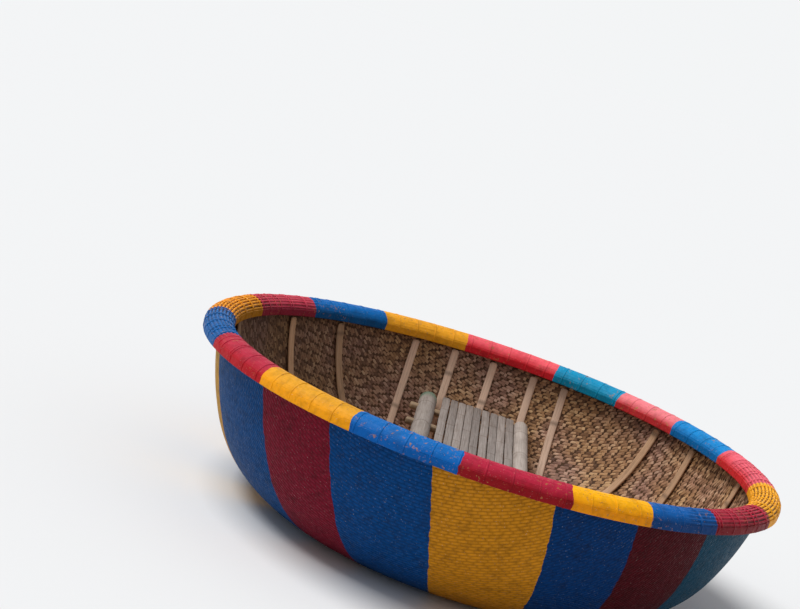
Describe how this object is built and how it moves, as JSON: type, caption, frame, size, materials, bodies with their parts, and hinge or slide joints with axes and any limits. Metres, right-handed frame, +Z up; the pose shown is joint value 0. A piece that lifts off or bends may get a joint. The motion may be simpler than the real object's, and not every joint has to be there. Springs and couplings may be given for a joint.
{
  "type": "round woven basket coracle",
  "caption": "Round basket coracle of woven bamboo with a thick lashed rim painted in colour bands, laths inside and a slatted bamboo bench between two poles.",
  "frame": {"origin": "on the hull's upright axis, at the level waterline of the empty boat", "axes": "+Z up along the hull's axis, +Y along the bench, +X across the bench towards its thinner pole"},
  "size_m": [2.0055, 2.006, 0.6249],
  "materials": {
    "painted_weave": "woven bamboo, sealed and painted in upright panels outside, bare and aged inside",
    "painted_hoop": "thick gloss paint on bamboo, banded in colours and worn",
    "painted_cane": "thick gloss paint on woven cane, banded in colours and worn",
    "tie": "split cane binding, painted with the rim",
    "split_bamboo": "bare split bamboo, dry and aged",
    "weathered_bamboo": "weathered grey bamboo",
    "bamboo_pole": "weathered bamboo with raised knots"
  },
  "bodies": {
    "root": {"basket_hull": "painted_weave", "rim_outer_hoop": "painted_hoop", "rim_inner_hoop": "painted_hoop", "rim_outer_bundle": "painted_cane", "rim_inner_bundle": "painted_cane", "rim_ties": "tie", "long_lath_1": "split_bamboo", "long_lath_2": "split_bamboo", "long_lath_3": "split_bamboo", "long_lath_4": "split_bamboo", "long_lath_5": "split_bamboo", "cross_lath_1": "split_bamboo", "cross_lath_2": "split_bamboo", "cross_lath_3": "split_bamboo", "cross_lath_4": "split_bamboo", "cross_lath_5": "split_bamboo", "cross_lath_6": "split_bamboo", "cross_lath_7": "split_bamboo", "bench_slat_1": "weathered_bamboo", "bench_slat_2": "weathered_bamboo", "bench_slat_3": "weathered_bamboo", "bench_slat_4": "weathered_bamboo", "bench_slat_5": "weathered_bamboo", "bench_slat_6": "weathered_bamboo", "bench_slat_7": "weathered_bamboo", "bench_slat_8": "weathered_bamboo", "bench_slat_9": "weathered_bamboo", "bench_pole_left": "bamboo_pole", "bench_pole_right": "bamboo_pole", "bench_rung_1": "split_bamboo", "bench_rung_2": "split_bamboo", "bench_rung_3": "split_bamboo", "bench_rung_4": "split_bamboo", "bench_rung_5": "split_bamboo", "bench_rung_6": "split_bamboo"}
  },
  "joints": []
}
